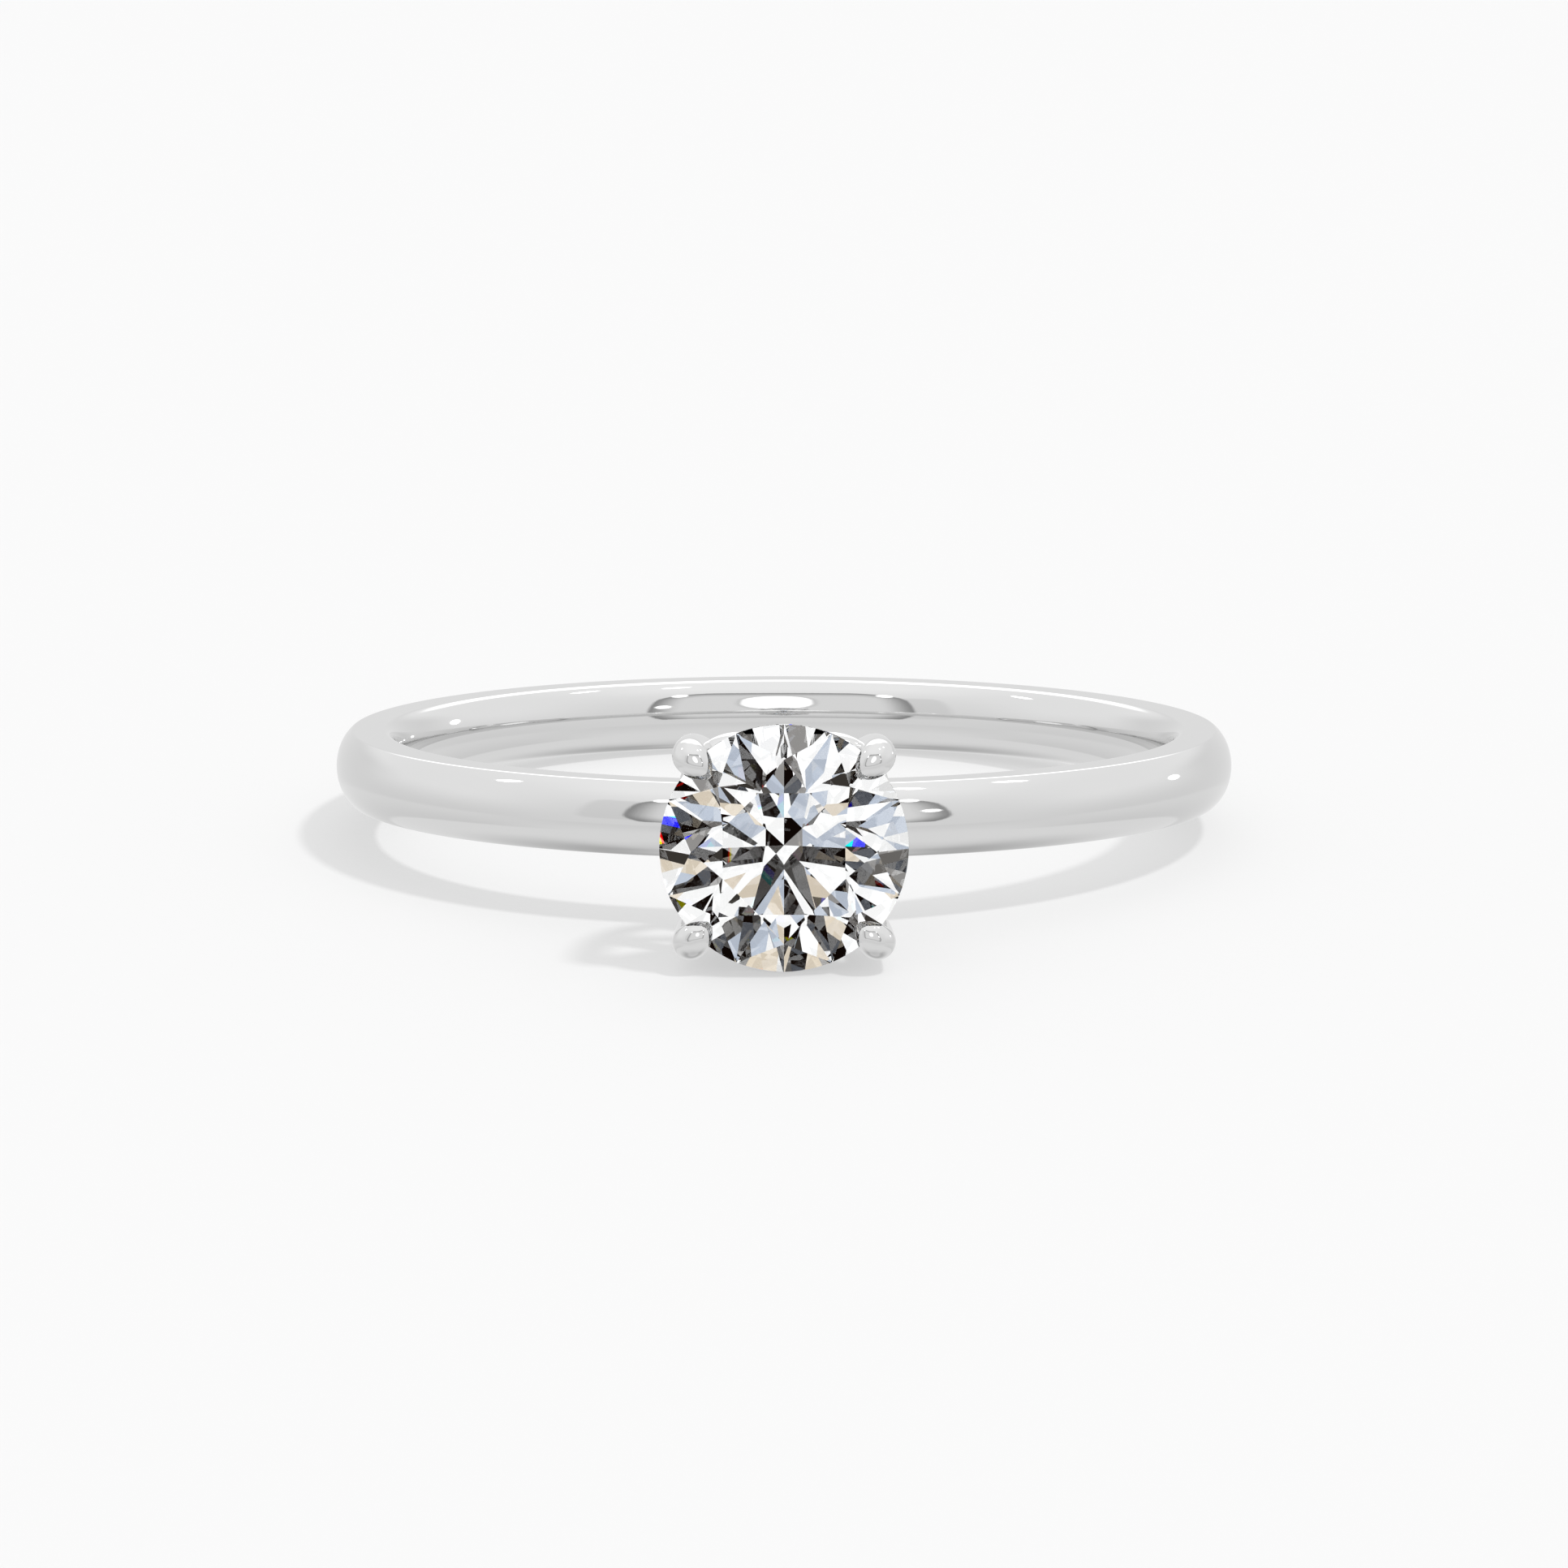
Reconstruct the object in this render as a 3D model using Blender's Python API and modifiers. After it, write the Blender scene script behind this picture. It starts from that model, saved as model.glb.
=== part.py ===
# Engagement ring: a plain polished band and a four-claw head that holds one round brilliant.
# All dimensions are in millimetres and are turned into metres where each mesh is made.
# Each piece is made in the band's own frame, where the finger hole runs along Z and the stone faces
# -Y. The ring then lies down as it rests: on the stone's lower edge and the back of the band.

import math

import bmesh
import bpy
from mathutils import Matrix, Vector

MM = 0.001
GAP = 0.025  # solder gap kept between neighbouring pieces

# Band, as radii from the finger axis; the inside and the outside are parts of an ellipse
BORE_R = 8.45  # crown of the comfort-fit inside: US ring size 6 1/2
BORE_DEPTH = 0.40  # from that crown out to the flat sides
BAND_R = 9.88  # crown of the domed outside
DOME_DEPTH = 0.67  # the outside's ellipse, whose ends the edge rounding cuts off
DOME_HALF = 0.90
BAND_HALF = 0.79  # half the band's width
EDGE_R = 0.10  # rounding between the outside and the flat sides
BAND_STEPS = 96
AZURE_R = 0.55  # light hole through the band under the stone

# Stone, a 0.50 carat round brilliant; heights run forward from the finger axis
STONE_R = 2.55
GIRDLE_FRONT = 13.60
GIRDLE_T = 0.13
TABLE_SHARE = 0.53
CROWN_ANGLE = math.radians(34.0)
PAVILION_ANGLE = math.radians(40.9)
STAR_LENGTH = 0.50
LOWER_LENGTH = 0.77
GIRDLE_STEPS = 96

# Head
COLLET_BASE = 9.60
COLLET_TOP = 10.45
COLLET_R = 1.30
COLLET_FOOT_R = 1.14
COLLET_BORE_R = 0.72
RAIL_FORWARD = 11.77
RAIL_WIRE_R = 0.30
RAIL_HALF = 2.178  # out to the outside of the wire
RAIL_CORNER_R = 0.95  # of the wire's centre line
CLAW_ROOT = (0.95, -3.48)  # centre line, as distance out and distance forward of the girdle
CLAW_BEND_A = (1.90, -3.40)
CLAW_BEND_B = (2.66, -2.50)
CLAW_NECK = (2.72, -0.45)
CLAW_ROOT_R = 0.26
CLAW_NECK_R = 0.35
CLAW_SIDES = 18
CLAW_ANGLES = {
    "claw_upper_right": 45.0,
    "claw_upper_left": 135.0,
    "claw_lower_left": 225.0,
    "claw_lower_right": 315.0,
}
# The claw's head: inner point, outer point and half width of each section over the stone's edge
CLAW_HEAD = (
    ((2.375, -0.20), (3.078, -0.18), 0.356),
    ((2.378, -0.04), (3.085, 0.04), 0.360),
    ((2.378, 0.05), (3.045, 0.25), 0.362),
    ((2.370, 0.08), (2.930, 0.42), 0.356),
    ((2.350, 0.10), (2.770, 0.53), 0.342),
    ((2.320, 0.12), (2.600, 0.57), 0.312),
    ((2.280, 0.14), (2.460, 0.57), 0.270),
    ((2.235, 0.16), (2.350, 0.54), 0.218),
    ((2.190, 0.18), (2.255, 0.49), 0.158),
    ((2.150, 0.20), (2.180, 0.42), 0.092),
)

DOME_CENTRE = BAND_R - DOME_DEPTH


def ellipse_point(deep, half, turn):
    """The point of an ellipse, deep along r and half along z, whose outward normal is at the turn."""
    size = math.hypot(deep * math.cos(turn), half * math.sin(turn))
    return deep**2 * math.cos(turn) / size, half**2 * math.sin(turn) / size


def edge_rounding():
    """The turn where the dome runs into the edge rounding, and the radius of the rounding's centre."""
    low, high = 0.0, math.pi / 2.0
    for _ in range(50):
        turn = (low + high) / 2.0
        r, z = ellipse_point(DOME_DEPTH, DOME_HALF, turn)
        if z + EDGE_R * (1.0 - math.sin(turn)) > BAND_HALF:
            high = turn
        else:
            low = turn
    return turn, DOME_CENTRE + r - EDGE_R * math.cos(turn)


EDGE_TURN, EDGE_CENTRE = edge_rounding()

# The lying ring's angle, head end up: the floor touches the stone's edge and the back of the band,
# whose edge rounding is a circle that the floor touches from below
REST_RUN = GIRDLE_FRONT - GIRDLE_T + EDGE_CENTRE
REST_RISE = STONE_R - BAND_HALF + EDGE_R
REST_TILT = math.atan2(REST_RISE, REST_RUN) - math.asin(EDGE_R / math.hypot(REST_RISE, REST_RUN))

for old in list(bpy.data.objects):
    bpy.data.objects.remove(old)

ring = bpy.data.collections.new("engagement_ring")
cutters = bpy.data.collections.new("cutters")
for collection in (ring, cutters):
    bpy.context.scene.collection.children.link(collection)

ring_frame = bpy.data.objects.new("ring_frame", None)
ring_frame.rotation_euler = (-REST_TILT, 0.0, 0.0)
ring.objects.link(ring_frame)


def material(name, colour, roughness, metallic):
    made = bpy.data.materials.new(name)
    made.use_nodes = True
    shader = made.node_tree.nodes["Principled BSDF"]
    shader.inputs["Base Color"].default_value = (*colour, 1.0)
    shader.inputs["Roughness"].default_value = roughness
    shader.inputs["Metallic"].default_value = metallic
    return made


def add_object(name, mesh, smooth=True, surface=None):
    """Puts a mesh in the band's frame, among the ring's pieces if it has a surface, else the cutters."""
    made = bpy.data.objects.new(name, mesh)
    made.parent = ring_frame
    for face in mesh.polygons:
        face.use_smooth = smooth
    if surface is None:
        cutters.objects.link(made)
        made.hide_render = True
        made.display_type = "WIRE"
    else:
        ring.objects.link(made)
        mesh.materials.append(surface)
    return made


def subtract(target, cutter):
    cut = target.modifiers.new("cut_" + cutter.name, "BOOLEAN")
    cut.operation = "DIFFERENCE"
    cut.solver = "EXACT"
    cut.object = cutter


def turned(name, profile, steps, surface=None):
    """A closed profile of (radius, height) turned about the object's Z axis by a Screw modifier."""
    corners = [(r * MM, 0.0, z * MM) for r, z in profile]
    mesh = bpy.data.meshes.new(name)
    mesh.from_pydata(corners, [(i, (i + 1) % len(corners)) for i in range(len(corners))], [])
    made = add_object(name, mesh, True, surface)
    screw = made.modifiers.new("turn", "SCREW")
    screw.angle = 2.0 * math.pi
    screw.steps = steps
    screw.render_steps = steps
    screw.use_merge_vertices = True
    screw.merge_threshold = 1e-6
    screw.use_smooth_shade = True
    return made


def band_profile(extra):
    """The band's section, or the space that it fills when every side is moved out by extra."""
    half = []
    for i in range(6):
        turn = EDGE_TURN * i / 5.0
        r, z = ellipse_point(DOME_DEPTH, DOME_HALF, turn)
        half.append((DOME_CENTRE + r + extra * math.cos(turn), z + extra * math.sin(turn)))
    for i in range(1, 4):
        turn = EDGE_TURN + (math.pi / 2.0 - EDGE_TURN) * i / 3.0
        reach = EDGE_R + extra
        half.append((EDGE_CENTRE + reach * math.cos(turn), BAND_HALF - EDGE_R + reach * math.sin(turn)))
    for i in range(6):
        turn = math.pi / 2.0 * (1.0 - i / 5.0)
        r, z = ellipse_point(BORE_DEPTH, BAND_HALF, turn)
        half.append((BORE_R + BORE_DEPTH - r - extra * math.cos(turn), z + extra * math.sin(turn)))
    return [(r, -z) for r, z in half[1:-1]] + half[::-1]


def brilliant(grow):
    """The 57 facets and the girdle of a round brilliant, as the hull of its corners, facing -Y."""
    tall = STONE_R * (1.0 - TABLE_SHARE) * math.tan(CROWN_ANGLE)
    eighth = math.pi / 8.0
    table_r = STONE_R * TABLE_SHARE
    table_in = table_r * math.cos(eighth)
    star_r = table_in + STAR_LENGTH * (STONE_R - table_in)
    star_z = (STONE_R - star_r * math.cos(eighth)) * math.tan(CROWN_ANGLE)
    lower_r = (1.0 - LOWER_LENGTH) * STONE_R
    lower_z = (STONE_R - lower_r * math.cos(eighth)) * math.tan(PAVILION_ANGLE)

    def half_drop(tip_r, tip_z, turn):
        """How far a half facet has come down at the girdle, at an angle past a main facet."""
        main = Vector((STONE_R, 0.0, 0.0))
        side = Vector((STONE_R * math.cos(eighth), STONE_R * math.sin(eighth), 0.0))
        tip = Vector((tip_r * math.cos(eighth), tip_r * math.sin(eighth), tip_z))
        normal = (side - main).cross(tip - main)
        at = Vector((STONE_R * math.cos(turn), STONE_R * math.sin(turn), 0.0))
        return normal.dot(at - main) / normal.z

    corners = [(0.0, 0.0, -GIRDLE_T - STONE_R * math.tan(PAVILION_ANGLE))]
    for i in range(8):
        main = eighth * (2 * i + 1)
        side = main + eighth
        corners.append((table_r * math.cos(main), table_r * math.sin(main), tall))
        corners.append((star_r * math.cos(side), star_r * math.sin(side), star_z))
        corners.append((lower_r * math.cos(side), lower_r * math.sin(side), -GIRDLE_T - lower_z))
    for i in range(GIRDLE_STEPS):
        at = 2.0 * math.pi * i / GIRDLE_STEPS
        past = (at - eighth) % (2.0 * eighth)
        past = min(past, 2.0 * eighth - past)
        down = half_drop(star_r, star_z, past)
        up = half_drop(lower_r, lower_z, past)
        place = (STONE_R * math.cos(at), STONE_R * math.sin(at))
        corners.append((*place, -down))
        corners.append((*place, -GIRDLE_T + up))
    shape = bmesh.new()
    for x, y, z in corners:
        shape.verts.new((x * grow, -(z * grow + GIRDLE_FRONT), y * grow))
    bmesh.ops.convex_hull(shape, input=shape.verts)
    bmesh.ops.dissolve_limit(
        shape, angle_limit=math.radians(0.05), verts=shape.verts, edges=shape.edges
    )
    bmesh.ops.recalc_face_normals(shape, faces=shape.faces)
    bmesh.ops.scale(shape, vec=(MM, MM, MM), verts=shape.verts)
    return shape


def mesh_of(shape, name):
    mesh = bpy.data.meshes.new(name)
    shape.to_mesh(mesh)
    shape.free()
    return mesh


def lofted(name, rings):
    """A solid through rings of points, in millimetres, capped at both ends."""
    shape = bmesh.new()
    loops = [[shape.verts.new(p * MM) for p in points] for points in rings]
    sides = len(loops[0])
    for low, high in zip(loops, loops[1:]):
        for j in range(sides):
            k = (j + 1) % sides
            shape.faces.new((low[j], low[k], high[k], high[j]))
    shape.faces.new(list(reversed(loops[0])))
    shape.faces.new(loops[-1])
    bmesh.ops.recalc_face_normals(shape, faces=shape.faces)
    return mesh_of(shape, name)


def rail_mesh(name, wire_r):
    """A round wire bent into a square with rounded corners, level with the stone's underside."""
    straight = RAIL_HALF - RAIL_WIRE_R - RAIL_CORNER_R
    path = []
    for corner in range(4):
        middle = math.radians(45.0 + 90.0 * corner)
        centre = Vector((math.cos(middle), 0.0, math.sin(middle))) * straight * math.sqrt(2.0)
        for i in range(9):
            turn = middle + math.radians(45.0) * (i / 4.0 - 1.0)
            out = Vector((math.cos(turn), 0.0, math.sin(turn)))
            path.append(centre + out * RAIL_CORNER_R + Vector((0.0, -RAIL_FORWARD, 0.0)))
    wire = bpy.data.curves.new(name, "CURVE")
    wire.dimensions = "3D"
    wire.bevel_depth = wire_r * MM
    wire.bevel_resolution = 5
    spline = wire.splines.new("POLY")
    spline.points.add(len(path) - 1)
    for point, place in zip(spline.points, path):
        point.co = (*(place * MM), 1.0)
    spline.use_cyclic_u = True
    bent = bpy.data.objects.new(name, wire)
    cutters.objects.link(bent)
    mesh = bpy.data.meshes.new_from_object(bent)
    bpy.data.objects.remove(bent)
    mesh.name = name
    return mesh


def claw_sections():
    """Inner point, outer point and half width of every section, from the root to the tip."""
    root, bend_a, bend_b, neck = (
        Vector(p) for p in (CLAW_ROOT, CLAW_BEND_A, CLAW_BEND_B, CLAW_NECK)
    )
    sections = []
    for i in range(13):
        t = i / 12.0
        s = 1.0 - t
        spine = root * s**3 + bend_a * 3 * s * s * t + bend_b * 3 * s * t * t + neck * t**3
        along = (bend_a - root) * s * s + (bend_b - bend_a) * 2 * s * t + (neck - bend_b) * t * t
        outward = Vector((along.y, -along.x)).normalized()
        wire = CLAW_ROOT_R + (CLAW_NECK_R - CLAW_ROOT_R) * t
        sections.append((spine - outward * wire, spine + outward * wire, wire))
    for inner, outer, half in CLAW_HEAD:
        sections.append((Vector(inner), Vector(outer), half))
    return sections


def claw_mesh(name, angle):
    radial = Vector((math.cos(angle), 0.0, math.sin(angle)))
    across = Vector((-math.sin(angle), 0.0, math.cos(angle)))
    forward = Vector((0.0, -1.0, 0.0))
    rings = []
    for inner, outer, half in claw_sections():
        middle = (inner + outer) / 2.0
        reach = (outer - inner) / 2.0
        centre = radial * middle.x + forward * (GIRDLE_FRONT + middle.y)
        thick = radial * reach.x + forward * reach.y
        points = []
        for j in range(CLAW_SIDES):
            turn = 2.0 * math.pi * j / CLAW_SIDES
            points.append(centre + thick * math.cos(turn) + across * half * math.sin(turn))
        rings.append(points)
    return lofted(name, rings)


white_metal = material("white_metal", (0.80, 0.80, 0.79), 0.06, 1.0)
diamond = material("diamond", (0.93, 0.95, 0.98), 0.0, 0.0)

# The spaces each piece keeps clear for its neighbours
band_space = turned("band_space", band_profile(GAP), BAND_STEPS)
stone_space = add_object(
    "stone_space", mesh_of(brilliant(1.0 + GAP / STONE_R), "stone_space"), False
)
rail_space = add_object("rail_space", rail_mesh("rail_space", RAIL_WIRE_R + GAP))


def collet_profile(extra):
    return (
        (COLLET_R - 0.07 + extra, COLLET_TOP + extra),
        (COLLET_R + extra, COLLET_TOP - 0.07),
        (COLLET_R + extra, COLLET_TOP - 0.70),
        (COLLET_FOOT_R + extra, COLLET_BASE - extra),
        (COLLET_BORE_R - extra, COLLET_BASE - extra),
        (COLLET_BORE_R - extra, COLLET_TOP - 0.07),
        (COLLET_BORE_R + 0.07 - extra, COLLET_TOP + extra),
    )


collet_space = turned("collet_space", collet_profile(GAP), 48)
collet_space.rotation_euler = (math.pi / 2.0, 0.0, 0.0)

azure_mesh = bmesh.new()
bmesh.ops.create_cone(
    azure_mesh,
    cap_ends=True,
    segments=32,
    radius1=AZURE_R * MM,
    radius2=AZURE_R * MM,
    depth=3.0 * MM,
    matrix=Matrix.Translation((0.0, -9.2 * MM, 0.0)) @ Matrix.Rotation(math.pi / 2.0, 4, "X"),
)
azure_hole = add_object("azure_hole", mesh_of(azure_mesh, "azure_hole"))

shank = turned("shank", band_profile(0.0), BAND_STEPS, white_metal)
subtract(shank, azure_hole)

collet = turned("collet", collet_profile(0.0), 48, white_metal)
collet.rotation_euler = (math.pi / 2.0, 0.0, 0.0)
subtract(collet, band_space)

add_object("gallery_rail", rail_mesh("gallery_rail", RAIL_WIRE_R), True, white_metal)

for claw_name, degrees in CLAW_ANGLES.items():
    claw = add_object(
        claw_name, claw_mesh(claw_name, math.radians(degrees)), True, white_metal
    )
    subtract(claw, stone_space)
    subtract(claw, rail_space)
    subtract(claw, collet_space)

add_object("centre_stone", mesh_of(brilliant(1.0), "centre_stone"), False, diamond)

# Put the lowest point at z = 0 and the middle of the footprint at x = y = 0
bpy.context.view_layer.update()
depsgraph = bpy.context.evaluated_depsgraph_get()
places = []
for piece in ring.objects:
    if piece.type == "MESH":
        solid = piece.evaluated_get(depsgraph)
        places += [solid.matrix_world @ corner.co for corner in solid.data.vertices]
mid_x, mid_y = ((min(p[i] for p in places) + max(p[i] for p in places)) / 2.0 for i in (0, 1))
ring_frame.location = (-mid_x, -mid_y, -min(p.z for p in places))
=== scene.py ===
"""Engagement ring: the looks of a polished four-claw solitaire, lying on a pale floor.

Lengths are in millimetres and become metres through MM, except where a comment says metres. Every
piece is made in the band's own frame, where the finger hole runs along Z and the stone faces -Y, and
REST lays it down as the CAD ring lies.
"""

import math

import bmesh
import bpy
from mathutils import Matrix, Vector


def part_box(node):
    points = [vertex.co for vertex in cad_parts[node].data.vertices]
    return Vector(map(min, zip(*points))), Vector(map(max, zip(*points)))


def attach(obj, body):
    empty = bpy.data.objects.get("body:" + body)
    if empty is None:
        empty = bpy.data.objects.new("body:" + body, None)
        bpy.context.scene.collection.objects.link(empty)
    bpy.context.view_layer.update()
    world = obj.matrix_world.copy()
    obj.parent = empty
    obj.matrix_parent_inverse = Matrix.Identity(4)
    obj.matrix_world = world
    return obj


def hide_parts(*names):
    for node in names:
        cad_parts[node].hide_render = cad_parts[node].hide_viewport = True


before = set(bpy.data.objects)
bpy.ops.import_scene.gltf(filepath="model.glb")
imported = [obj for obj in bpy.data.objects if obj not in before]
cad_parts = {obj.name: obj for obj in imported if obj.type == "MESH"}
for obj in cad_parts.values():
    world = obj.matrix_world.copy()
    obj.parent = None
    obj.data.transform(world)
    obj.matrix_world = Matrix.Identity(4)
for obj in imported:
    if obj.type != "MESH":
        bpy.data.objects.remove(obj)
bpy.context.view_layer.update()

MM = 0.001

# Band, as radii from the finger axis; both faces are parts of an ellipse
BORE_R = 8.45
BORE_DEPTH = 0.40  # the comfort-fit inside's half ellipse, from its crown to the flat sides
BAND_R = 9.88
DOME_DEPTH = 0.67  # the outside's ellipse, of which the edge rounding cuts off the ends
DOME_HALF = 0.90
BAND_HALF = 0.79
EDGE_R = 0.10
BAND_STEPS = 288
AZURE_R = 0.55
AZURE_DRILL = 3.0  # length of the cutter, and its middle's distance from the finger axis
AZURE_AT = 9.2

# Stone
STONE_R = 2.55
GIRDLE_FRONT = 13.60
GIRDLE_T = 0.13
TABLE_SHARE = 0.53
CROWN_ANGLE = math.radians(34.0)
PAVILION_ANGLE = math.radians(40.9)
STAR_LENGTH = 0.50
LOWER_LENGTH = 0.77
GIRDLE_STEPS = 96
SEAT_PLAY = 0.006

# Head
COLLET_BASE = 9.60
COLLET_TOP = 10.45
COLLET_R = 1.30
COLLET_FOOT_R = 1.14
COLLET_BORE_R = 0.72
COLLET_EDGE_R = 0.06
COLLET_TAPER = 0.70  # down from the top to where it narrows
RAIL_FORWARD = 11.77
RAIL_WIRE_R = 0.30
RAIL_HALF = 2.178
RAIL_CORNER_R = 0.95
CLAW_ROOT = (0.95, -3.48)
CLAW_BEND_A = (1.90, -3.40)
CLAW_BEND_B = (2.66, -2.50)
CLAW_NECK = (2.72, -0.45)
CLAW_ROOT_R = 0.26
CLAW_NECK_R = 0.35
CLAW_SIDES = 48
CLAW_TIP_PUSH = 0.06  # how far the rounded tip stands past the last section
CLAW_TIP_STEPS = 4
CLAW_ANGLES = {
    "claw_upper_right": 45.0,
    "claw_upper_left": 135.0,
    "claw_lower_left": 225.0,
    "claw_lower_right": 315.0,
}
CLAW_HEAD = (
    ((2.375, -0.20), (3.078, -0.18), 0.356),
    ((2.378, -0.04), (3.085, 0.04), 0.360),
    ((2.378, 0.05), (3.045, 0.25), 0.362),
    ((2.370, 0.08), (2.930, 0.42), 0.356),
    ((2.350, 0.10), (2.770, 0.53), 0.342),
    ((2.320, 0.12), (2.600, 0.57), 0.312),
    ((2.280, 0.14), (2.460, 0.57), 0.270),
    ((2.235, 0.16), (2.350, 0.54), 0.218),
    ((2.190, 0.18), (2.255, 0.49), 0.158),
    ((2.150, 0.20), (2.180, 0.42), 0.092),
)

DOME_CENTRE = BAND_R - DOME_DEPTH


def ellipse_point(deep, half, turn):
    """The point of an ellipse, deep along r and half along z, whose outward normal is at the turn."""
    size = math.hypot(deep * math.cos(turn), half * math.sin(turn))
    return deep**2 * math.cos(turn) / size, half**2 * math.sin(turn) / size


def edge_rounding():
    """The turn where the dome runs into the edge rounding, and the radius of the rounding's centre."""
    low, high = 0.0, math.pi / 2.0
    for _ in range(50):
        turn = (low + high) / 2.0
        r, z = ellipse_point(DOME_DEPTH, DOME_HALF, turn)
        if z + EDGE_R * (1.0 - math.sin(turn)) > BAND_HALF:
            high = turn
        else:
            low = turn
    return turn, DOME_CENTRE + r - EDGE_R * math.cos(turn)


EDGE_TURN, EDGE_CENTRE = edge_rounding()

# The lying ring: the floor touches the stone's edge and the back of the band
REST_RUN = GIRDLE_FRONT - GIRDLE_T + EDGE_CENTRE
REST_RISE = STONE_R - BAND_HALF + EDGE_R
REST_TILT = math.atan2(REST_RISE, REST_RUN) - math.asin(EDGE_R / math.hypot(REST_RISE, REST_RUN))
SHANK_LOW, SHANK_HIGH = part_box("shank")
FINGER_AXIS = (SHANK_LOW + SHANK_HIGH) / 2.0
REST = Matrix.Translation(FINGER_AXIS) @ Matrix.Rotation(-REST_TILT, 4, "X")

# Surfaces
METAL_COLOURS = ((0.742, 0.742, 0.742), (0.750, 0.750, 0.748))
METAL_ROUGHNESS = (0.025, 0.05)
DIAMOND_IOR = 2.417

# Camera, from the band's middle and above its plane
CAMERA_DISTANCE = 177.3
CAMERA_ELEVATION = math.radians(7.421)
CAMERA_PITCH = math.radians(7.574)
CAMERA_LENS = 184.04
CAMERA_CLIP = (0.005, 50.0)  # metres

# Light
KEY_DIRECTION = Vector((0.42, -0.17, 0.89))
KEY_ANGLE = math.radians(7.0)
KEY_STRENGTH = 2.1
FLOOR_ALBEDO = 0.25
FLOOR_GLOW = 0.535
FLOOR_RADIUS = 8.0  # metres

# The cards that only the stone looks out on: where the random layout is cut, how small the cards
# are, and each tone with the share of the draw at which it starts
CARD_OFFSET = (8.2, 8.1, 2.6)
CARD_SCALE = 3.5
CARD_SPLIT = 0.0008  # how far the red and the blue images lie from the green one
CARDS = (
    (0.00, (1.15, 1.15, 1.15)),
    (0.33, (0.82, 0.72, 0.58)),
    (0.39, (0.55, 0.61, 0.71)),
    (0.48, (0.36, 0.35, 0.34)),
    (0.58, (0.17, 0.16, 0.15)),
    (0.66, (0.05, 0.044, 0.038)),
    (0.73, (0.006, 0.003, 0.002)),
)

# The studio that the metal mirrors. Azimuth runs from the camera's side toward +X, elevation up
# from the floor, both in degrees; a patch is its middle, its half size and its corner radius.
TABLE_EDGE = -14.0
SIDE_EDGE = -31.0  # where the table's edge lies to the left and right
FRONT_TONES = (0.84, 1.08)  # at the table's edge and overhead
SIDE_TONES = (0.80, 0.98)
BACK_TONE = 0.81
OVERHEAD_TONE = 1.08
PAPER_TONES = (0.80, 0.88, 0.66)  # at the table's edge, in its middle and right below the ring
SKIRT_TONES = (0.85, 0.77)
SIDE_PAPER_TONES = (0.88, 0.50, 0.70)
BACK_LIGHT = ((0.0, 43.0), (30.0, 21.0), 12.0)
BACK_LIGHT_TONE = 1.75
SEAM = ((-44.0, 14.0), (9.5, 18.0), 4.0)
SEAM_TONE = 0.62
SEAM_SHARE = 0.35
OPENING_RIM = ((0.9, 16.0), (42.0, 28.0), 18.0)
OPENING_INSIDE = ((0.9, 17.0), (37.5, 23.0), 13.0)
OPENING_TONES = (0.25, 0.87)  # at the rim and inside
UMBRELLA = ((2.3, 22.0), (11.5, 13.5), 11.0)
UMBRELLA_TONE = 1.45
UMBRELLA_EDGE = ((2.3, 22.0), (12.8, 14.8), 12.3)
UMBRELLA_EDGE_TONE = 0.62
UMBRELLA_EDGE_SHARE = 0.7
LAMP_BLUR = 0.8
LAMPS = (
    ((37.0, 37.5), (2.6, 3.0), 2.6),
    ((-35.5, 37.0), (2.6, 3.0), 2.6),
    ((38.5, 14.5), (2.4, 2.6), 2.6),
    ((121.0, 7.5), (2.4, 2.4), 4.0),
    ((64.0, 66.5), (5.0, 3.0), 5.0),
    ((102.0, 55.0), (3.5, 3.0), 5.0),
    ((-99.8, 42.8), (2.6, 3.0), 5.0),
)  # middle, half size and brightness


def grey(level):
    return (level, level, level)


class Nodes:
    """Short names for the shader nodes used here."""

    def __init__(self, tree):
        self.tree = tree
        tree.nodes.clear()

    def add(self, kind, **settings):
        node = self.tree.nodes.new(kind)
        for name, value in settings.items():
            setattr(node, name, value)
        return node

    def feed(self, socket, value):
        if isinstance(value, bpy.types.NodeSocket):
            self.tree.links.new(value, socket)
        elif isinstance(value, (tuple, list)) and len(value) == 3 and socket.type == "RGBA":
            socket.default_value = (*value, 1.0)
        else:
            socket.default_value = value

    def math(self, operation, *values, clamp=False):
        node = self.add("ShaderNodeMath", operation=operation, use_clamp=clamp)
        for socket, value in zip(node.inputs, values):
            self.feed(socket, value)
        return node.outputs[0]

    def blend(self, share, a, b):
        node = self.add("ShaderNodeMix", data_type="RGBA")
        self.feed(node.inputs["Factor"], share)
        self.feed(node.inputs["A"], a)
        self.feed(node.inputs["B"], b)
        return node.outputs["Result"]

    def ramp(self, value, low, high, out_low=0.0, out_high=1.0, smooth=True):
        node = self.add("ShaderNodeMapRange", clamp=True)
        node.interpolation_type = "SMOOTHSTEP" if smooth else "LINEAR"
        for name, number in zip(
            ("Value", "From Min", "From Max", "To Min", "To Max"),
            (value, low, high, out_low, out_high),
        ):
            self.feed(node.inputs[name], number)
        return node.outputs["Result"]


# ---------------------------------------------------------------- materials


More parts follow.
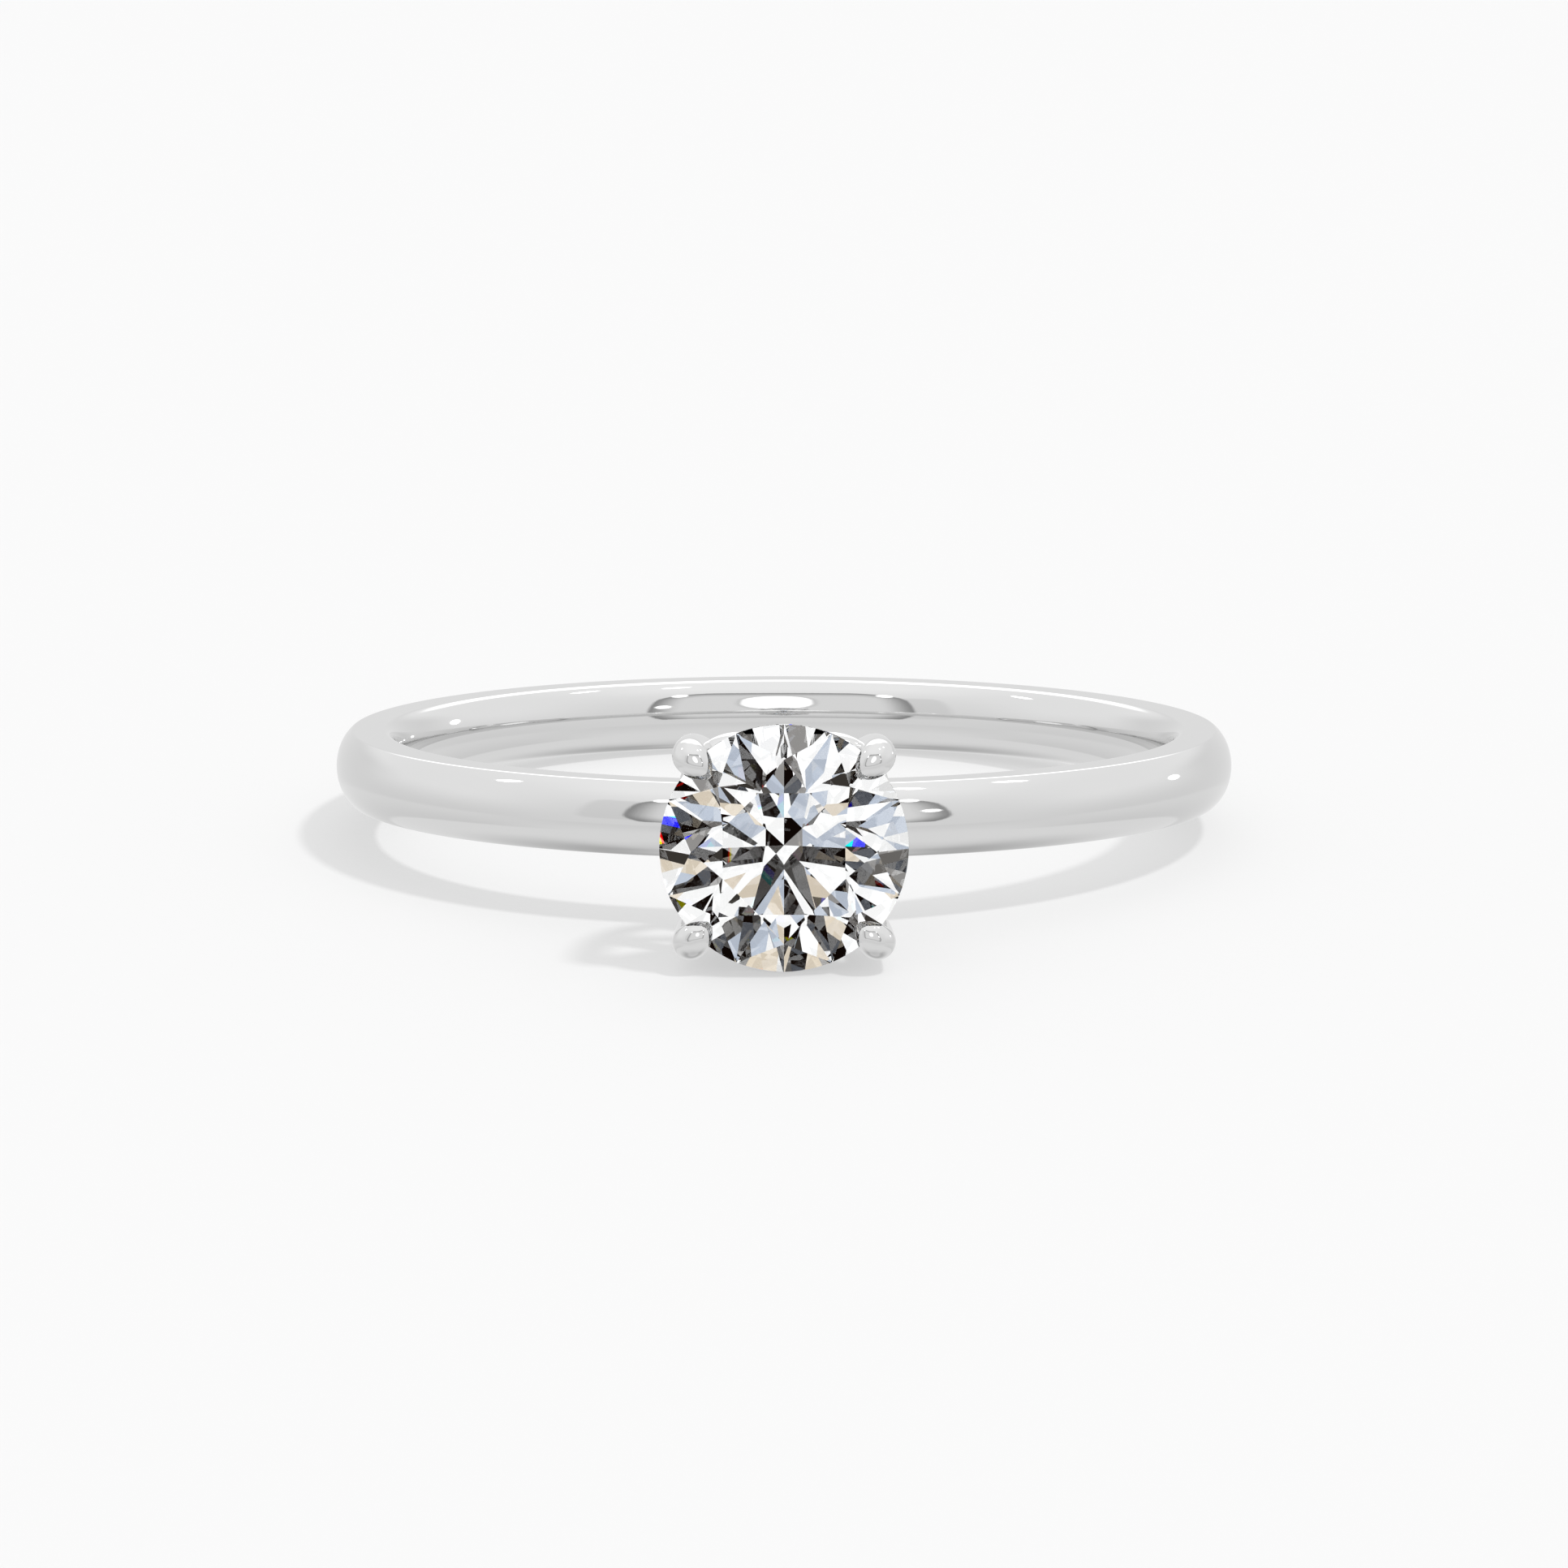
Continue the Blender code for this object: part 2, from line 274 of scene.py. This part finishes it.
def metal_material():
    """Polished rhodium-bright white metal: a mirror with a faint haze and hairline polishing marks."""
    made = bpy.data.materials.new("white_metal")
    made.use_nodes = True
    n = Nodes(made.node_tree)
    place = n.add("ShaderNodeTexCoord").outputs["Object"]
    cloud = n.add("ShaderNodeTexNoise")
    n.feed(cloud.inputs["Vector"], place)
    n.feed(cloud.inputs["Scale"], 700.0)
    n.feed(cloud.inputs["Detail"], 3.0)
    fine = n.add("ShaderNodeTexNoise")
    n.feed(fine.inputs["Vector"], place)
    n.feed(fine.inputs["Scale"], 9000.0)
    n.feed(fine.inputs["Detail"], 2.0)
    bump = n.add("ShaderNodeBump")
    n.feed(bump.inputs["Strength"], 0.02)
    n.feed(bump.inputs["Distance"], 0.00001)  # metres
    n.feed(bump.inputs["Height"], fine.outputs["Fac"])
    shader = n.add("ShaderNodeBsdfPrincipled")
    colour = n.blend(cloud.outputs["Fac"], METAL_COLOURS[0], METAL_COLOURS[1])
    n.feed(shader.inputs["Base Color"], colour)
    n.feed(shader.inputs["Metallic"], 1.0)
    n.feed(shader.inputs["Roughness"], n.ramp(cloud.outputs["Fac"], 0.3, 0.7, *METAL_ROUGHNESS))
    n.feed(shader.inputs["Normal"], bump.outputs["Normal"])
    out = n.add("ShaderNodeOutputMaterial")
    n.feed(out.inputs["Surface"], shader.outputs["BSDF"])
    return made


def diamond_material():
    """A diamond's clear glass; its facets mirror only on the inside, which keeps dark facets dark."""
    made = bpy.data.materials.new("diamond")
    made.use_nodes = True
    n = Nodes(made.node_tree)
    cloud = n.add("ShaderNodeTexNoise")
    n.feed(cloud.inputs["Vector"], n.add("ShaderNodeTexCoord").outputs["Object"])
    n.feed(cloud.inputs["Scale"], 500.0)
    tint = n.blend(cloud.outputs["Fac"], (0.985, 0.99, 1.0), (1.0, 0.998, 0.99))
    layers = []
    for kind in ("ShaderNodeBsdfRefraction", "ShaderNodeBsdfGlass"):
        layer = n.add(kind, distribution="BECKMANN")
        n.feed(layer.inputs["Color"], tint)
        n.feed(layer.inputs["Roughness"], 0.0)
        n.feed(layer.inputs["IOR"], DIAMOND_IOR)
        layers.append(layer)
    both = n.add("ShaderNodeMixShader")
    n.feed(both.inputs[0], n.add("ShaderNodeNewGeometry").outputs["Backfacing"])
    n.feed(both.inputs[1], layers[0].outputs[0])
    n.feed(both.inputs[2], layers[1].outputs[0])
    out = n.add("ShaderNodeOutputMaterial")
    n.feed(out.inputs["Surface"], both.outputs[0])
    return made


# ---------------------------------------------------------------- shapes


def arc(centre, radius, start, end, steps):
    """Points (r, z) on an arc, angles in radians from the outward direction toward +Z."""
    points = []
    for i in range(steps + 1):
        turn = start + (end - start) * i / steps
        points.append((centre[0] + radius * math.cos(turn), centre[1] + radius * math.sin(turn)))
    return points


def band_outline():
    """The band's closed section: domed outside, rounded edge, flat sides, half-elliptical inside."""
    half = []
    for i in range(29):
        r, z = ellipse_point(DOME_DEPTH, DOME_HALF, EDGE_TURN * i / 28)
        half.append((DOME_CENTRE + r, z))
    half += arc((EDGE_CENTRE, BAND_HALF - EDGE_R), EDGE_R, EDGE_TURN, math.pi / 2.0, 8)[1:]
    bore_at = BORE_R + BORE_DEPTH
    half += [(EDGE_CENTRE + (bore_at - EDGE_CENTRE) * share, BAND_HALF) for share in (0.05, 0.5, 0.95)]
    for i in range(31):
        r, z = ellipse_point(BORE_DEPTH, BAND_HALF, math.pi / 2.0 * (1.0 - i / 30))
        half.append((bore_at - r, z))
    return half + [(r, -z) for r, z in reversed(half[1:-1])]


def mesh_of(shape, name):
    mesh = bpy.data.meshes.new(name)
    shape.to_mesh(mesh)
    shape.free()
    return mesh


def turned(outline, steps):
    """A closed outline of (radius, height) turned about Z."""
    shape = bmesh.new()
    rings = []
    for i in range(steps):
        turn = 2.0 * math.pi * i / steps
        rings.append([shape.verts.new((r * math.cos(turn), r * math.sin(turn), z)) for r, z in outline])
    for i in range(steps):
        low, high = rings[i], rings[(i + 1) % steps]
        for j in range(len(outline)):
            k = (j + 1) % len(outline)
            shape.faces.new((low[j], high[j], high[k], low[k]))
    bmesh.ops.recalc_face_normals(shape, faces=shape.faces)
    return shape


def lofted(rings, closed):
    """A tube through rings of points, joined end to end if closed and capped if not."""
    shape = bmesh.new()
    loops = [[shape.verts.new(p) for p in points] for points in rings]
    sides = len(loops[0])
    for i in range(len(loops) if closed else len(loops) - 1):
        low, high = loops[i], loops[(i + 1) % len(loops)]
        for j in range(sides):
            k = (j + 1) % sides
            shape.faces.new((low[j], low[k], high[k], high[j]))
    if not closed:
        shape.faces.new(list(reversed(loops[0])))
        shape.faces.new(loops[-1])
    bmesh.ops.recalc_face_normals(shape, faces=shape.faces)
    return shape


def brilliant(grow):
    """The 57 facets and the girdle of a round brilliant, as the hull of its corners, facing -Y."""
    tall = STONE_R * (1.0 - TABLE_SHARE) * math.tan(CROWN_ANGLE)
    eighth = math.pi / 8.0
    table_r = STONE_R * TABLE_SHARE
    table_in = table_r * math.cos(eighth)
    star_r = table_in + STAR_LENGTH * (STONE_R - table_in)
    star_z = (STONE_R - star_r * math.cos(eighth)) * math.tan(CROWN_ANGLE)
    lower_r = (1.0 - LOWER_LENGTH) * STONE_R
    lower_z = (STONE_R - lower_r * math.cos(eighth)) * math.tan(PAVILION_ANGLE)

    def half_drop(tip_r, tip_z, turn):
        """How far a half facet has come down at the girdle, at an angle past a main facet."""
        main = Vector((STONE_R, 0.0, 0.0))
        side = Vector((STONE_R * math.cos(eighth), STONE_R * math.sin(eighth), 0.0))
        tip = Vector((tip_r * math.cos(eighth), tip_r * math.sin(eighth), tip_z))
        normal = (side - main).cross(tip - main)
        at = Vector((STONE_R * math.cos(turn), STONE_R * math.sin(turn), 0.0))
        return normal.dot(at - main) / normal.z

    corners = [(0.0, 0.0, -GIRDLE_T - STONE_R * math.tan(PAVILION_ANGLE))]
    for i in range(8):
        main = eighth * (2 * i + 1)
        side = main + eighth
        corners.append((table_r * math.cos(main), table_r * math.sin(main), tall))
        corners.append((star_r * math.cos(side), star_r * math.sin(side), star_z))
        corners.append((lower_r * math.cos(side), lower_r * math.sin(side), -GIRDLE_T - lower_z))
    for i in range(GIRDLE_STEPS):
        at = 2.0 * math.pi * i / GIRDLE_STEPS
        past = (at - eighth) % (2.0 * eighth)
        past = min(past, 2.0 * eighth - past)
        down = half_drop(star_r, star_z, past)
        up = half_drop(lower_r, lower_z, past)
        place = (STONE_R * math.cos(at), STONE_R * math.sin(at))
        corners.append((*place, -down))
        corners.append((*place, -GIRDLE_T + up))
    shape = bmesh.new()
    for x, y, z in corners:
        shape.verts.new((x * grow, -(z * grow + GIRDLE_FRONT), y * grow))
    bmesh.ops.convex_hull(shape, input=shape.verts)
    bmesh.ops.dissolve_limit(
        shape, angle_limit=math.radians(0.05), verts=shape.verts, edges=shape.edges
    )
    bmesh.ops.recalc_face_normals(shape, faces=shape.faces)
    return shape


def put(name, shape, surface, smooth=True, cutters=()):
    """Makes a finished piece of the ring from a shape in the band's frame, in millimetres."""
    bmesh.ops.scale(shape, vec=(MM, MM, MM), verts=shape.verts)
    made = bpy.data.objects.new(name + "_look", mesh_of(shape, name + "_look"))
    bpy.context.scene.collection.objects.link(made)
    guides = []
    for i, cutter in enumerate(cutters):
        bmesh.ops.scale(cutter, vec=(MM, MM, MM), verts=cutter.verts)
        guide = bpy.data.objects.new(f"{name}_cutter_{i}", mesh_of(cutter, f"{name}_cutter_{i}"))
        bpy.context.scene.collection.objects.link(guide)
        cut = made.modifiers.new("cut", "BOOLEAN")
        cut.operation = "DIFFERENCE"
        cut.solver = "EXACT"
        cut.object = guide
        guides.append(guide)
    if guides:
        bpy.context.view_layer.update()
        solid = made.evaluated_get(bpy.context.evaluated_depsgraph_get())
        mesh = bpy.data.meshes.new_from_object(solid)
        made.modifiers.clear()
        made.data = mesh
        for guide in guides:
            bpy.data.objects.remove(guide)
    mesh = made.data
    mesh.transform(REST)
    for face in mesh.polygons:
        face.use_smooth = smooth
    if smooth:
        mesh.set_sharp_from_angle(angle=math.radians(30.0))
    mesh.materials.clear()
    mesh.materials.append(surface)
    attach(made, "root")
    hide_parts(name)
    return made


def make_shank(surface):
    hole = bmesh.new()
    bmesh.ops.create_cone(
        hole,
        cap_ends=True,
        segments=64,
        radius1=AZURE_R,
        radius2=AZURE_R,
        depth=AZURE_DRILL,
        matrix=Matrix.Translation((0.0, -AZURE_AT, 0.0)) @ Matrix.Rotation(math.pi / 2.0, 4, "X"),
    )
    return put("shank", turned(band_outline(), BAND_STEPS), surface, True, [hole])


def make_collet(surface):
    edge = COLLET_EDGE_R
    outline = arc((COLLET_R - edge, COLLET_TOP - edge), edge, 0.0, math.pi / 2.0, 5)
    outline += arc((COLLET_BORE_R + edge, COLLET_TOP - edge), edge, math.pi / 2.0, math.pi, 5)
    outline += [(COLLET_BORE_R, COLLET_BASE), (COLLET_FOOT_R, COLLET_BASE)]
    outline += [(COLLET_R, COLLET_TOP - COLLET_TAPER)]
    shape = turned(outline, 96)
    upright = Matrix.Rotation(math.pi / 2.0, 3, "X")
    bmesh.ops.rotate(shape, verts=shape.verts, cent=(0, 0, 0), matrix=upright)
    return put("collet", shape, surface)


def make_rail(surface):
    straight = RAIL_HALF - RAIL_WIRE_R - RAIL_CORNER_R
    rings = []
    for corner in range(4):
        middle = math.radians(45.0 + 90.0 * corner)
        centre = Vector((math.cos(middle), 0.0, math.sin(middle))) * straight * math.sqrt(2.0)
        for i in range(25):
            turn = middle + math.radians(45.0) * (i / 12.0 - 1.0)
            out = Vector((math.cos(turn), 0.0, math.sin(turn)))
            spine = centre + out * RAIL_CORNER_R + Vector((0.0, -RAIL_FORWARD, 0.0))
            points = []
            for j in range(32):
                around = 2.0 * math.pi * j / 32
                across = out * math.cos(around) + Vector((0.0, 1.0, 0.0)) * math.sin(around)
                points.append(spine + across * RAIL_WIRE_R)
            rings.append(points)
    return put("gallery_rail", lofted(rings, True), surface)


def claw_sections():
    """Inner point, outer point and half width of every section, from the root to the tip."""
    root, bend_a, bend_b, neck = (
        Vector(p) for p in (CLAW_ROOT, CLAW_BEND_A, CLAW_BEND_B, CLAW_NECK)
    )
    sections = []
    for i in range(13):
        t = i / 12.0
        s = 1.0 - t
        spine = root * s**3 + bend_a * 3 * s * s * t + bend_b * 3 * s * t * t + neck * t**3
        along = (bend_a - root) * s * s + (bend_b - bend_a) * 2 * s * t + (neck - bend_b) * t * t
        outward = Vector((along.y, -along.x)).normalized()
        wire = CLAW_ROOT_R + (CLAW_NECK_R - CLAW_ROOT_R) * t
        inner, outer = spine - outward * wire, spine + outward * wire
        sections.append((*inner, *outer, wire))
    for inner, outer, half in CLAW_HEAD:
        sections.append((*inner, *outer, half))
    return sections


def through(stops, between):
    """A smooth curve's points through the stops, with that many steps from each to the next."""
    points = []
    for i in range(len(stops) - 1):
        before, a, b, after = (stops[max(0, min(len(stops) - 1, i + k))] for k in (-1, 0, 1, 2))
        for step in range(between):
            t = step / between
            point = []
            for p, q, r, s in zip(before, a, b, after):
                straight = 2 * q + (r - p) * t
                bend = (2 * p - 5 * q + 4 * r - s) * t**2 + (3 * q - p - 3 * r + s) * t**3
                point.append(0.5 * (straight + bend))
            points.append(tuple(point))
    points.append(stops[-1])
    return points


def make_claw(name, angle, surface):
    radial = Vector((math.cos(angle), 0.0, math.sin(angle)))
    across = Vector((-math.sin(angle), 0.0, math.cos(angle)))
    forward = Vector((0.0, -1.0, 0.0))
    sections = through(claw_sections(), 4)
    last = sections[-1]
    for i in range(1, CLAW_TIP_STEPS + 1):
        turn = math.radians(90.0 * i / (CLAW_TIP_STEPS + 0.6))
        shrink, push = math.cos(turn), CLAW_TIP_PUSH * math.sin(turn)
        mid_x, mid_y = (last[0] + last[2]) / 2.0, (last[1] + last[3]) / 2.0
        reach_x, reach_y = (last[2] - last[0]) / 2.0, (last[3] - last[1]) / 2.0
        mid_x -= push
        mid_y -= push * 0.5
        sections.append((
            mid_x - reach_x * shrink, mid_y - reach_y * shrink,
            mid_x + reach_x * shrink, mid_y + reach_y * shrink, last[4] * shrink,
        ))
    rings = []
    for inner_x, inner_y, outer_x, outer_y, half in sections:
        middle = Vector(((inner_x + outer_x) / 2.0, (inner_y + outer_y) / 2.0))
        reach = Vector(((outer_x - inner_x) / 2.0, (outer_y - inner_y) / 2.0))
        centre = radial * middle.x + forward * (GIRDLE_FRONT + middle.y)
        thick = radial * reach.x + forward * reach.y
        points = []
        for j in range(CLAW_SIDES):
            turn = 2.0 * math.pi * j / CLAW_SIDES
            points.append(centre + thick * math.cos(turn) + across * half * math.sin(turn))
        rings.append(points)
    seat = brilliant(1.0 + SEAT_PLAY / STONE_R)
    return put(name, lofted(rings, False), surface, True, [seat])


metal = metal_material()
diamond = diamond_material()
make_shank(metal)
make_collet(metal)
make_rail(metal)
for claw_name, degrees in CLAW_ANGLES.items():
    make_claw(claw_name, math.radians(degrees), metal)
put("centre_stone", brilliant(1.0), diamond, False)


# ---------------------------------------------------------------- floor, light, camera


def make_floor():
    shape = bmesh.new()
    bmesh.ops.create_circle(shape, cap_ends=True, segments=96, radius=FLOOR_RADIUS)
    floor = bpy.data.objects.new("floor", mesh_of(shape, "floor"))
    bpy.context.scene.collection.objects.link(floor)
    surface = bpy.data.materials.new("floor")
    surface.use_nodes = True
    n = Nodes(surface.node_tree)
    cloud = n.add("ShaderNodeTexNoise")
    n.feed(cloud.inputs["Vector"], n.add("ShaderNodeTexCoord").outputs["Object"])
    n.feed(cloud.inputs["Scale"], 14.0)
    paper = n.add("ShaderNodeBsdfDiffuse")
    n.feed(paper.inputs["Color"], n.blend(
        cloud.outputs["Fac"],
        (FLOOR_ALBEDO * 0.997,) * 3,
        (FLOOR_ALBEDO * 1.003,) * 3,
    ))
    glow = n.add("ShaderNodeEmission")
    n.feed(glow.inputs["Color"], (1.0, 1.0, 1.0))
    n.feed(glow.inputs["Strength"], FLOOR_GLOW)
    both = n.add("ShaderNodeAddShader")
    n.feed(both.inputs[0], paper.outputs[0])
    n.feed(both.inputs[1], glow.outputs[0])
    out = n.add("ShaderNodeOutputMaterial")
    n.feed(out.inputs["Surface"], both.outputs[0])
    floor.data.materials.append(surface)
    floor.visible_glossy = False
    floor.visible_transmission = False


def rounded_box(n, azimuth, elevation, at, half, corner, soft):
    """1 inside a rounded rectangle on the sky and 0 outside it, angles in degrees."""
    over = []
    for angle, centre, reach in ((azimuth, at[0], half[0]), (elevation, at[1], half[1])):
        off = n.math("ABSOLUTE", n.math("SUBTRACT", angle, centre))
        over.append(n.math("SUBTRACT", off, reach - corner))
    outside = [n.math("MAXIMUM", o, 0.0) for o in over]
    squares = [n.math("POWER", o, 2.0) for o in outside]
    length = n.math("SQRT", n.math("ADD", *squares))
    inside = n.math("MINIMUM", n.math("MAXIMUM", over[0], over[1]), 0.0)
    distance = n.math("SUBTRACT", n.math("ADD", length, inside), corner)
    return n.ramp(distance, soft, -soft)


def gem_cards(n):
    """What the stone looks out on: cards from white to near black, whose edges split in colour."""
    place = n.add("ShaderNodeTexCoord").outputs["Generated"]
    split = n.add("ShaderNodeCombineColor")
    for channel in range(3):
        shift = n.add("ShaderNodeMapping", vector_type="POINT")
        n.feed(shift.inputs["Vector"], place)
        n.feed(shift.inputs["Location"], [o + (channel - 1) * CARD_SPLIT for o in CARD_OFFSET])
        cards = n.add("ShaderNodeTexVoronoi")
        n.feed(cards.inputs["Vector"], shift.outputs[0])
        n.feed(cards.inputs["Scale"], CARD_SCALE)
        draw = n.add("ShaderNodeSeparateColor")
        n.feed(draw.inputs[0], cards.outputs["Color"])
        ramp = n.add("ShaderNodeValToRGB")
        n.feed(ramp.inputs[0], draw.outputs[0])
        ramp.color_ramp.interpolation = "CONSTANT"
        stops = ramp.color_ramp.elements
        for i, (share, colour) in enumerate(CARDS):
            stop = stops[i] if i < 2 else stops.new(share)
            stop.position, stop.color = share, (*colour, 1.0)
        parts = n.add("ShaderNodeSeparateColor")
        n.feed(parts.inputs[0], ramp.outputs[0])
        n.feed(split.inputs[channel], parts.outputs[channel])
    return split.outputs[0]


def make_world():
    world = bpy.data.worlds.new("studio")
    bpy.context.scene.world = world
    world.use_nodes = True
    n = Nodes(world.node_tree)
    direction = n.add("ShaderNodeSeparateXYZ")
    n.feed(direction.inputs[0], n.add("ShaderNodeTexCoord").outputs["Generated"])
    x, y, z = direction.outputs
    azimuth = n.math("DEGREES", n.math("ARCTAN2", x, n.math("MULTIPLY", y, -1.0)))
    elevation = n.math("DEGREES", n.math("ARCSINE", z))
    behind = n.math("SUBTRACT", 180.0, n.math("ABSOLUTE", azimuth))

    # The tent: greyer near the table and brighter overhead
    height = n.ramp(elevation, TABLE_EDGE, 60.0, smooth=False)
    front = n.blend(n.math("POWER", height, 1.6), *map(grey, FRONT_TONES))
    side = n.blend(n.ramp(elevation, TABLE_EDGE, 16.0), *map(grey, SIDE_TONES))
    sideways = n.ramp(n.math("ABSOLUTE", azimuth), 50.0, 95.0)
    tent = n.blend(sideways, front, side)
    tent = n.blend(n.ramp(elevation, 35.0, 75.0), tent, grey(OVERHEAD_TONE))
    back = n.math("MULTIPLY", n.ramp(behind, 65.0, 35.0), n.ramp(elevation, 20.0, 8.0))
    tent = n.blend(back, tent, grey(BACK_TONE))

    # The table as the metal sees it: paper in front, and a darker skirt and paper at the sides
    near, middle, below = map(grey, PAPER_TONES)
    paper = n.blend(n.ramp(elevation, TABLE_EDGE, -32.0), near, middle)
    paper = n.blend(n.ramp(elevation, -42.0, -85.0), paper, below)
    near, middle, below = map(grey, SIDE_PAPER_TONES)
    skirt = n.blend(n.ramp(elevation, TABLE_EDGE, SIDE_EDGE), *map(grey, SKIRT_TONES))
    low = n.blend(n.ramp(elevation, -40.0, -72.0), near, middle)
    low = n.blend(n.ramp(elevation, -66.0, -78.0), low, below)
    low = n.blend(n.ramp(elevation, SIDE_EDGE + 1.0, SIDE_EDGE - 1.0), skirt, low)
    paper = n.blend(sideways, paper, low)
    sky = n.blend(n.ramp(elevation, TABLE_EDGE + 1.5, TABLE_EDGE - 1.5), tent, paper)

    # A bright light above and behind the ring
    sky = n.blend(rounded_box(n, behind, elevation, *BACK_LIGHT, 4.0), sky, grey(BACK_LIGHT_TONE))

    # The tent's opening, an arch in front, dark along its rim, and a seam beside it
    seam = rounded_box(n, azimuth, elevation, *SEAM, 2.0)
    sky = n.blend(n.math("MULTIPLY", seam, SEAM_SHARE), sky, grey(SEAM_TONE))
    rim = rounded_box(n, azimuth, elevation, *OPENING_RIM, 0.8)
    rim = n.math("MULTIPLY", rim, n.ramp(elevation, -7.0, -6.0))
    deep = rounded_box(n, azimuth, elevation, *OPENING_INSIDE, 6.5)
    sky = n.blend(rim, sky, n.blend(deep, *map(grey, OPENING_TONES)))

    # An umbrella in the opening, and small lamps around it
    shade = rounded_box(n, azimuth, elevation, *UMBRELLA_EDGE, 1.6)
    sky = n.blend(n.math("MULTIPLY", shade, UMBRELLA_EDGE_SHARE), sky, grey(UMBRELLA_EDGE_TONE))
    umbrella = rounded_box(n, azimuth, elevation, *UMBRELLA, LAMP_BLUR)
    sky = n.blend(umbrella, sky, grey(UMBRELLA_TONE))
    for at, half, power in LAMPS:
        lamp = rounded_box(n, azimuth, elevation, at, half, min(half) - 0.05, LAMP_BLUR)
        sky = n.blend(lamp, sky, grey(power))

    sky = n.blend(n.add("ShaderNodeLightPath").outputs["Is Transmission Ray"], sky, gem_cards(n))
    shader = n.add("ShaderNodeBackground")
    n.feed(shader.inputs["Color"], sky)
    n.feed(shader.inputs["Strength"], 1.0)
    out = n.add("ShaderNodeOutputWorld")
    n.feed(out.inputs["Surface"], shader.outputs[0])


def make_key():
    lamp = bpy.data.lights.new("key", "SUN")
    lamp.energy = KEY_STRENGTH
    lamp.angle = KEY_ANGLE
    key = bpy.data.objects.new("key", lamp)
    key.rotation_euler = KEY_DIRECTION.to_track_quat("Z", "Y").to_euler()
    key.visible_glossy = False
    key.visible_transmission = False
    bpy.context.scene.collection.objects.link(key)


def make_camera():
    data = bpy.data.cameras.new("camera")
    data.lens = CAMERA_LENS
    data.sensor_width = 36.0
    data.clip_start, data.clip_end = CAMERA_CLIP
    camera = bpy.data.objects.new("camera", data)
    bpy.context.scene.collection.objects.link(camera)
    spot = Vector((0.0, -math.cos(CAMERA_ELEVATION), math.sin(CAMERA_ELEVATION))) * CAMERA_DISTANCE * MM
    look = Matrix.Rotation(math.pi / 2.0 - CAMERA_PITCH, 4, "X")
    camera.matrix_world = REST @ Matrix.Translation(spot) @ look
    bpy.context.scene.camera = camera


make_floor()
make_world()
make_key()
make_camera()

scene = bpy.context.scene
scene.view_settings.view_transform = "Standard"
scene.cycles.max_bounces = 9
scene.cycles.transmission_bounces = 9
scene.cycles.glossy_bounces = 9
scene.cycles.caustics_refractive = False
scene.cycles.caustics_reflective = True
